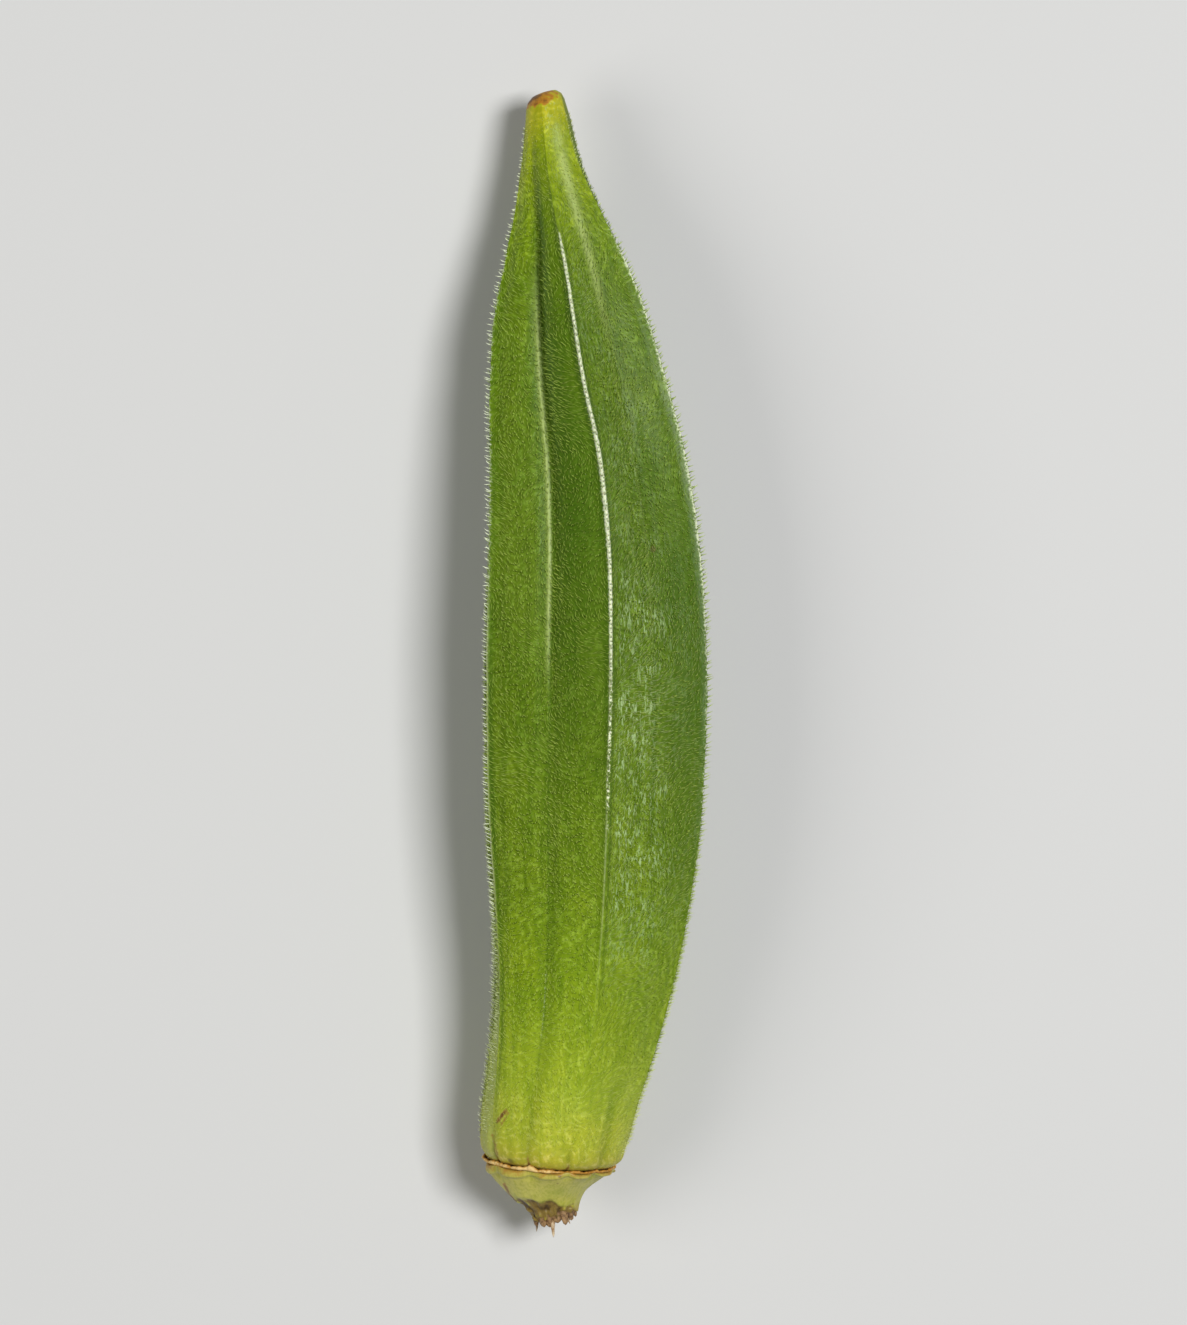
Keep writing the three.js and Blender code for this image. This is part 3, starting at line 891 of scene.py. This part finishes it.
# Degrees by which the left rib's bristles stand below it, towards the outline seen from above.
comb_turn = curve_through({0: 27, 12: 22, 20: 11, 27: 3, 33: 0})
COMB_LENGTHENING = 0.22  # how much longer those bristles are on the way to the base
TOP_RIB_BRISTLES = (40, 105)  # the range of y in which the top rib has bristles
RIB_PALENESS = np.array([0.7, 0.2, 0.6, 0.6, 1.1])
HAIR_ROOT = 0.04  # how deep a hair's root is sunk in the skin
FLOOR_GAP = 0.05  # hairs that would reach lower than this are left out
REST_HEIGHT = 0.02  # skin lower than this rests on the floor, and is bare
# A hair is a thin spike of seven vertices: three at its root, three half way up, and its point.
HAIR_SIDES = 3
HAIR_QUADS = np.array([(0, 1, 4, 3), (1, 2, 5, 4), (2, 0, 3, 5)])
HAIR_TRIANGLES = np.array([(3, 4, 6), (4, 5, 6), (5, 3, 6), (2, 1, 0)])
HAIR_TIP = np.array([0, 0, 0, 0.4, 0.4, 0.4, 1])  # how near the point each of them is


def hair_roots(low, high, rng):
    """Places on the skin about HAIR_SPACING apart, with a random shift."""
    roots = []
    for row in np.arange(low, high, HAIR_SPACING):
        count = int(2 * np.pi * rib_radius(row) * 0.95 / HAIR_SPACING)
        y = row + rng.uniform(-0.5, 0.5, count) * HAIR_SPACING
        angle = (np.arange(count) + rng.uniform(-0.5, 0.5, count)) / count * 2 * np.pi
        roots.append((y, angle))
    return np.concatenate(roots, axis=1)


def rib_roots(low, high, rng):
    """Places in a row along each rib, RIB_SPACING apart."""
    rows = np.arange(low, high, RIB_SPACING)
    y = np.tile(rows, len(RIBS))
    y = y + rng.uniform(-0.45, 0.45, len(y)) * RIB_SPACING
    off_rib = rng.normal(0, RIB_SCATTER, len(y)) / rib_radius(y)
    rib = np.repeat(RIBS, len(rows))
    rounded = np.where(rib == RIBS[LEFT_RIB], comb_turn(y), 0)
    return y, np.radians(rib + twist(y) - rounded) + off_rib


def surface_axes(y, side, u):
    """Points on the skin, with the normal and the direction towards the tip."""
    step = 0.05
    points = skin_points(y, side, u)
    share = step / side_width(y, side)
    ahead = skin_points(y + step, side, u) - points
    around = skin_points(y, side, np.clip(u + share, 0, 1)) - skin_points(y, side, u - share)
    normal = unit(np.cross(around, ahead))
    return points, normal, unit(ahead)


def leaning(upright, flat, angle):
    """Directions that lean over from upright, towards flat."""
    return upright * np.cos(angle)[..., None] + flat * np.sin(angle)[..., None]


def hair_spikes(points, normal, flat, lean, length, radius):
    """The vertices of each hair. It is bent: its outer half leans over further."""
    first = unit(leaning(normal, flat, lean * 0.8))
    last = unit(leaning(normal, flat, lean * 1.2))
    half = (length * 0.5)[:, None]
    middle = points + first * half
    across = unit(np.cross(first, normal + 0.01))
    other = np.cross(first, across)
    rings = []
    for centre, thickness in ((points - first * HAIR_ROOT, radius), (middle, radius * 0.75)):
        for number in range(HAIR_SIDES):
            spoke = leaning(across, other, 2 * np.pi * number / HAIR_SIDES)
            rings.append(centre + thickness[:, None] * spoke)
    return np.stack([*rings, middle + last * half], 1)


def hair_tints(y, side, u, on_rib, is_bristle):
    """How pale each hair is, partly from painted glints and sheen, and how far it takes on the painted shade
    of the skin under it.
    """
    nearest = nearest_rib(side, u)
    faded = np.where(nearest == TOP_RIB, rise(y, 30, 60), 1)
    pale = np.where(is_bristle, 0.6 * fuzz_and_sheen(y, side, u), 0.3 * painted_glints(y, side, u))
    pale = np.where(on_rib, RIB_PALENESS[nearest] * faded, pale)
    # Painted shade, taken over from the skin under each hair.
    shade = 0.75 * valley_shade(y, side, u) * rise(y, 60, 90)
    shade = np.max([shade, 0.2 * right_of_top_valley(y, side, u), turned_from_light(y, side, u)], axis=0)
    return pale, np.where(on_rib, 0, np.clip(shade, 0, 1))


def make_hairs(name, zone, material, rng):
    """The hairs of one zone: down and bristles all over, and a row of bristles on each rib."""
    scattered = hair_roots(*zone, rng)
    y, angle = np.concatenate([scattered, rib_roots(*zone, rng)], axis=1)
    count = len(y)
    on_rib = np.arange(count) >= len(scattered[0])
    side, u = side_of(y, angle)
    rib, _ = to_crease(y, side, u)
    nearest = nearest_rib(side, u)

    points, normal, ahead = surface_axes(y, side, u)
    _, _, across, up = section_frame(y)
    normal = np.where(on_rib[:, None], leaning(up, across, angle), normal)
    swirl = 1.9 * noise(points / 6.5, 30) + 0.8 * noise(points / 2.4, 31) + rng.normal(0, 0.22, count)
    swirl = np.where(on_rib, 0.15 * swirl, swirl)
    flat = leaning(ahead, np.cross(ahead, normal), swirl)

    bristle_share = BRISTLE_SHARE * (1 - bell(rib / 1.4)) * rise(y, 6, 28)
    is_bristle = rng.random(count) < bristle_share + 0.6 * fuzz_and_sheen(y, side, u)
    kinds = np.where(is_bristle[:, None], BRISTLE, DOWN)
    kinds = np.where(on_rib[:, None], RIB_BRISTLE, kinds)
    shortest, longest, radius, middle_lean, spread = kinds.T
    lean = np.radians(middle_lean + spread * rng.normal(0, 1, count))
    length = rng.uniform(shortest, longest)
    length = length * rise(y, 0, 5) * (0.45 + 0.55 * rise(y, 119, 100))
    in_comb = on_rib & (nearest == LEFT_RIB)
    length = length * (1 + COMB_LENGTHENING * in_comb * within(y, 9, 14, 30, 40))
    radius = radius * np.where(on_rib, 1, 0.6 + 0.4 * rise(y, 4, 30))

    corners = hair_spikes(points, normal, flat, lean, length, radius)
    bare = (y < TOP_RIB_BRISTLES[0]) | (y > TOP_RIB_BRISTLES[1])
    kept = (corners[..., 2].min(1) > FLOOR_GAP) & (points[:, 2] > REST_HEIGHT)
    kept = kept & ~(on_rib & (nearest == TOP_RIB) & bare)
    corners = corners[kept]
    first = np.arange(len(corners))[:, None, None] * len(HAIR_TIP)
    faces = [(first + HAIR_QUADS).reshape(-1, 4), (first + HAIR_TRIANGLES).reshape(-1, 3)]
    pale, painted_hair_shade = hair_tints(y, side, u, on_rib, is_bristle)
    tints = {"along": y / POD_LENGTH, "pale": pale, "painted_hair_shade": painted_hair_shade}
    attributes = {key: np.repeat(values[kept], len(HAIR_TIP)) for key, values in tints.items()}
    attributes["tip"] = np.tile(HAIR_TIP, len(corners))
    make_piece(name, corners.reshape(-1, 3), faces, material, attributes)


# ---- the cap and the dry ends

CAP_ROWS = 90
CAP_AROUND = 44  # vertices across a side
TORN_DEPTH = 0.55  # how unevenly the stalk was torn off
STUB_FROM = -4.9  # where the flesh ends and the dry stub begins
STUB_SLANT = 1.35  # how much further down the flesh reaches on the side of +X
STUB_STEP = 0.12  # how much narrower the stub is
CRUMPLE = 0.3  # how unevenly the stub has dried
CUT_POLE = STALK_END + 0.8  # inside the cap, behind the face of the cut


def creaseness(u):
    """1 on a rib line or a valley line, 0 between them."""
    return np.max([bell((u - crease) / CREASE_HALF_WIDTH) for crease in (0, 0.5, 1)], axis=0)


def cap_point(y, radius, side, u):
    """A point on the cap's form, from its scalloped ring down to the round stalk."""
    ring_share = bell((y - RING_Y) / RING_SPREAD)
    cap_share = rise(y, STALK_END, RING_Y)
    corners = CAP_ANGLES * cap_share * np.cos(2 * np.pi * u)
    dent = RING_DENT * ring_share * creaseness(u)
    shift = SCALLOP * ring_share * (creaseness(u) - 0.5)
    return point_on(y, angle_of(y, side, u), radius * (1 + corners - dent), shift)


def cap_profile_at(shares):
    """The y and the radius at shares of the cap's profile, from the ring to the cut."""
    places = np.array(CAP_PROFILE)
    walked = np.append(0, np.cumsum(np.linalg.norm(np.diff(places, axis=0), axis=1)))
    walked = walked / walked[-1]
    return [curve_through(dict(zip(walked, values)))(shares) for values in places.T]


def make_cap_skin():
    share, side, u = grid_round(np.linspace(1, 0, CAP_ROWS), np.arange(CAP_AROUND) / CAP_AROUND)
    y, radius = cap_profile_at(share)
    angle = angle_of(y, side, u)
    lines = round_noise(y, angle, 14, 3.5, 40)
    lumps = round_noise(y, angle, 3, 1.8, 41)
    torn = round_noise(y, angle, 3, math.inf, 42)
    folds = round_noise(y, angle, 4.5, 0.7, 43)
    slant = STUB_SLANT * (np.sin(angle) - 0.6 * np.cos(angle))
    stub = rise(y + 0.45 * torn + slant, STUB_FROM, STUB_FROM - 0.5)
    grown = radius + 0.05 * lines + 0.09 * lumps * rise(share, 0.1, 0.3)
    grown = grown * (1 - STUB_STEP * stub) + stub * (0.1 * lines + CRUMPLE * folds)
    skin = cap_point(y, grown, side, u)
    pulled = TORN_DEPTH * rise(share, 0.75, 1.0) * (0.35 + 0.65 * torn)
    rows = skin + section_frame(y)[1] * pulled[..., None]
    dried = np.maximum(0.48 * rise(share, 0.16, 0.03), stub * (0.72 - 0.45 * folds))
    scar = np.maximum(dried, scratch_mask(CAP_SCRATCHES, y, skin))
    rings, dish_pole = dish([1, *DISH_RINGS[::-1]], side[0], u[0], CAP_PROFILE[0][1], -SEAM / 2)
    points, faces = loft([*rows, *rings], point_on(CUT_POLE, 0, 0), dish_pole)
    in_dish = np.ones(len(rings) * side.shape[1])
    attributes = {
        "along": np.concatenate([*share[::-1], in_dish, [0, 1]]),
        "scar": np.concatenate([*scar, in_dish, [1, 1]]),
    }
    piece = make_piece("cap_skin", points, faces, cap_material(), attributes)
    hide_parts("stem_cap")


RING_AROUND = 640
RING_SECTION = 14
RING_HALF_HEIGHT = 0.2
RING_HALF_DEPTH = 0.27
FLAP = 0.2  # how far a loose flap of the ring stands out
FLAP_AT = 278  # degrees from the top
FLAP_HALF_WIDTH = 8  # degrees


def make_scar_ring():
    """The thin corky lip between pod and cap: ragged, and drawn up to a tooth at each crease."""
    turns, rim = circle(RING_AROUND)
    side, u = side_of(0, turns)
    rough = noise(rim * 7, 50)
    fine = noise(rim * 24, 51)
    tooth = creaseness(u)
    flap = FLAP * bell((np.degrees(turns) - FLAP_AT) / FLAP_HALF_WIDTH)
    # The ring is thinner on the upper right, and there its painted highlight is dimmed as painted shade.
    worn = rise(np.sin(turns), -0.2, 0.35) * rise(np.cos(turns), -0.3, 0.3)
    number = np.arange(RING_SECTION)[:, None]
    corner = 2 * np.pi * number / RING_SECTION
    wrinkle = noise(rim * 30 + number[..., None] * [0.9, 0, 0], 52)
    thick = (1 + 0.35 * rough + 0.25 * fine + 0.25 * wrinkle) * (1 - 0.3 * worn)
    flange = RING_HALF_DEPTH * thick * np.cos(corner)
    lift = RING_HALF_HEIGHT * thick * np.sin(corner)
    radius = RING_RADIUS - 0.1 - 0.15 * tooth + 0.08 * rough + flange + flap
    shift = -0.08 + 0.07 * tooth * (1 + rough) + 0.05 * fine + 0.07 * rough + lift * (1 + 0.3 * tooth)
    points = point_on(0, np.broadcast_to(turns, radius.shape), radius, shift + flap).reshape(-1, 3)
    # The pale outer rim of the ring is a painted highlight, dimmed on the upper right as painted shade.
    edge = ((0.3 + 0.55 * np.cos(corner) + 0.2 * rough) * (1 - 0.45 * worn)).ravel()
    numbers = np.arange(len(points)).reshape(radius.shape)
    faces = tube_faces(np.append(numbers, numbers[:1], axis=0))
    cork = cork_material("okra_cork", (0.15, 0.055, 0.006), (0.42, 0.2, 0.024), (0.7, 0.5, 0.2))
    make_piece("scar_ring", points, [faces], cork, {"edge": edge})


def disc_grid(rings, around, innermost):
    """Shares of the radius, angles and points of a disc of radius 1, in rings from its rim."""
    turns, rim = circle(around)
    share, turns = np.meshgrid(np.linspace(1, innermost, rings), turns, indexing="ij")
    return share, turns, rim * share[..., None]


def make_disc(name, material, rows, edge, y, poles, pole_edge):
    """A closed disc through rings of points and two poles on the centre line."""
    points, faces = loft(rows, *[point_on(y, 0, 0, shift) for shift in poles])
    edge = np.append(edge, [pole_edge, pole_edge])
    make_piece(name, points, faces, material, {"edge": edge})


CUT_RINGS = 26
CUT_AROUND = 120
CUT_RADIUS = STALK_RADIUS - 0.15
CUT_MIDDLE = 1.1  # how deep in the stalk the middle of the face lies
CUT_BACK = 2.5  # how deep its hidden back lies


def make_stalk_cut():
    """The dry, fibrous face of the cut stalk, a little hollow, with darker pith."""
    share, turns, spot = disc_grid(CUT_RINGS, CUT_AROUND, 0.04)
    coarse = noise(spot * 3.2, 60)
    fine = noise(spot * 11, 61)
    bark = bell((share - 0.86) / 0.14)
    depth = 0.75 - 0.55 * bark + 0.3 * coarse + 0.16 * fine + 0.35 * (1 - share)
    rows = point_on(STALK_END, turns, share * CUT_RADIUS, depth)[::-1]
    edge = (0.15 + 0.5 * bark + 0.3 * fine)[::-1]
    wood = cork_material("okra_cut", (0.035, 0.018, 0.008), (0.17, 0.095, 0.035), (0.45, 0.33, 0.16))
    make_disc("stalk_cut", wood, rows, edge, STALK_END, (CUT_MIDDLE, CUT_BACK), 0)


# Splinters round the cut: degrees from the top, length, width, lean out in degrees, paleness.
SPLINTERS = [
    (350, 1.9, 0.78, 3, 1.0), (341, 0.7, 1.2, 8, 0.3), (322, 0.6, 1.3, 12, 0.4), (4, 0.4, 1.2, 4, 0.4),
    (28, 0.8, 1.1, 14, 0.45), (52, 0.5, 1.2, 10, 0.3), (95, 0.4, 1.3, 8, 0.5), (150, 1.3, 0.8, 14, 0.9),
    (188, 1.0, 1.0, 4, 0.5), (238, 1.3, 0.8, 20, 0.8), (285, 0.5, 1.3, 12, 0.3),
]
SPLINTER_ROWS = 9
SPLINTER_SIDES = 7
SPLINTER_ROOT = 0.9  # how deep a splinter starts inside the stalk
SPLINTER_INSET = 0.45  # how far inside the stalk's surface its middle stands
SPLINTER_BEND = 0.25
LONG_SPLINTER = 1  # a longer one than this tapers from its root on


def make_splinters():
    """Torn fibres: flat, tapering and a little bent, rooted inside the stalk."""
    rng = np.random.default_rng(SEED)
    corners = 2 * np.pi * np.arange(SPLINTER_SIDES) / SPLINTER_SIDES
    share = np.linspace(0, 1, SPLINTER_ROWS)[:, None]
    centre, tangent, across, up = section_frame(STALK_END)
    points = []
    edges = []
    for degrees, length, width, lean, paleness in SPLINTERS:
        outward = leaning(up, across, math.radians(degrees))
        flat = np.cross(tangent, outward)
        root = centre + outward * (STALK_RADIUS - SPLINTER_INSET) + tangent * SPLINTER_ROOT
        bend = rng.uniform(-SPLINTER_BEND, SPLINTER_BEND)
        ragged = rng.uniform(-1, 1, (SPLINTER_ROWS, 1 + SPLINTER_SIDES))
        sharpness = 0.6 if length > LONG_SPLINTER else 0.3
        taper = (1 - share) ** sharpness * (1 + 0.2 * ragged[:, :1]) + 0.06
        drift = outward * math.tan(math.radians(lean)) * share + flat * bend * share * share
        middle = root - tangent * (SPLINTER_ROOT + length) * share + drift * length
        section = leaning(flat * 0.5, outward * 0.22, corners) * width
        points.append(middle[:, None] + section * taper[..., None])
        edges.append(paleness * (0.35 + 0.5 * share + 0.2 * ragged[:, 1:]))
    numbers = np.arange(np.size(edges)).reshape(np.shape(edges))
    tubes = np.concatenate([tube_faces(splinter) for splinter in numbers])
    ends = np.stack([numbers[:, 0, ::-1], numbers[:, -1]], 1).reshape(-1, SPLINTER_SIDES)
    wood = cork_material("okra_splinter", (0.1, 0.05, 0.02), (0.3, 0.18, 0.08), (0.62, 0.5, 0.33))
    points = np.reshape(points, (-1, 3))
    make_piece("splinters", points, [tubes, ends], wood, {"edge": np.ravel(edges)})


TIP_SCAR_AROUND = 96
TIP_SCAR_ROWS = 20
TIP_SCAR_AT = 121.4
TIP_SCAR_RADIUS = 2.05
TIP_SCAR_MIDDLE = 0.68  # how far the middle of the scar stands out
TIP_SCAR_BACK = -1.5  # how deep its hidden back lies


def make_tip_scar():
    """The dry end where the flower sat: a rough slanted disc with a frayed brown edge."""
    share, turns, spot = disc_grid(TIP_SCAR_ROWS, TIP_SCAR_AROUND, 0.05)
    ragged = noise(spot[0] * 4, 70)
    coarse = noise(spot * 2.5 + 5, 71)
    fine = noise(spot * 9, 72)
    shift = 0.72 - 0.9 * share**6 * (1 + 0.3 * ragged) + 0.14 * coarse + 0.06 * fine
    radius = TIP_SCAR_RADIUS * share * (1 + 0.04 * ragged)
    rows = point_on(TIP_SCAR_AT, turns, radius, shift + tip_shift(TIP_SCAR_AT, turns, radius))
    edge = 0.35 + 0.35 * coarse + 0.2 * fine - 0.2 * rise(share, 0.55, 0.95)
    dry = cork_material("okra_tip", (0.1, 0.045, 0.01), (0.3, 0.19, 0.04), (0.48, 0.4, 0.12))
    make_disc("tip_scar", dry, rows, edge, TIP_SCAR_AT, (TIP_SCAR_BACK, TIP_SCAR_MIDDLE), 0.3)


# ---- stage, light and camera, in metres

FLOOR_HALF = 1.5
FLOOR_DROP = 0.00005
FRAME_HEIGHT = 0.151  # how much of the object's plane the picture's height takes in
CAMERA_DISTANCE = 0.95
SENSOR = 36.0
LIGHT_TARGET = Vector((0, 0, 0.01))


def make_floor():
    mesh = bpy.data.meshes.new("floor")
    corners = [(x * FLOOR_HALF, y * FLOOR_HALF, -FLOOR_DROP) for x, y in ((-1, -1), (1, -1), (1, 1), (-1, 1))]
    mesh.from_pydata(corners, [], [(0, 1, 2, 3)])
    s = Shader("pale_floor", Base_Color=(0.56, 0.56, 0.55), Roughness=0.7, Specular_IOR_Level=0.2)
    mesh.materials.append(s.material)
    floor = add_object("floor", mesh)


def make_light(name, place, size, power, color):
    data = bpy.data.lights.new(name, "AREA")
    data.shape = "RECTANGLE"
    data.size, data.size_y = size
    data.energy = power
    data.color = color
    light = add_object(name, data)
    light.location = place
    aim = LIGHT_TARGET - Vector(place)
    light.rotation_euler = aim.to_track_quat("-Z", "Y").to_euler()
    return light


def make_lights():
    make_light("key", place=(0.46, 0.12, 1.16), size=(0.3, 0.4), power=15.5, color=(0.99, 0.99, 1))
    fill = make_light("fill", place=(-0.85, -0.12, 0.8), size=(0.7, 0.7), power=6, color=(1, 0.99, 0.94))
    fill.visible_glossy = False  # it softens the shadows without a highlight of its own
    world = bpy.data.worlds.new("studio")
    world.use_nodes = True
    background = world.node_tree.nodes["Background"].inputs
    background["Color"].default_value = (0.92, 0.95, 1.0, 1)
    background["Strength"].default_value = 0.09
    bpy.context.scene.world = world
    bpy.context.scene.view_settings.view_transform = "Standard"


def make_camera():
    data = bpy.data.cameras.new("camera")
    data.sensor_width = SENSOR
    data.lens = SENSOR * CAMERA_DISTANCE / FRAME_HEIGHT
    data.clip_start = 0.01
    data.clip_end = 20
    camera = add_object("camera", data)
    camera.location = (0, 0, CAMERA_DISTANCE + (cad_low.z + cad_high.z) / 2)
    bpy.context.scene.camera = camera


make_pod_skin()
hair = hair_material()
generator = np.random.default_rng(SEED)
for zone_name, zone_range in HAIR_ZONES.items():
    make_hairs(zone_name, zone_range, hair, generator)
make_cap_skin()
make_scar_ring()
make_stalk_cut()
make_splinters()
make_tip_scar()
make_floor()
make_lights()
make_camera()

bpy.context.view_layer.update()
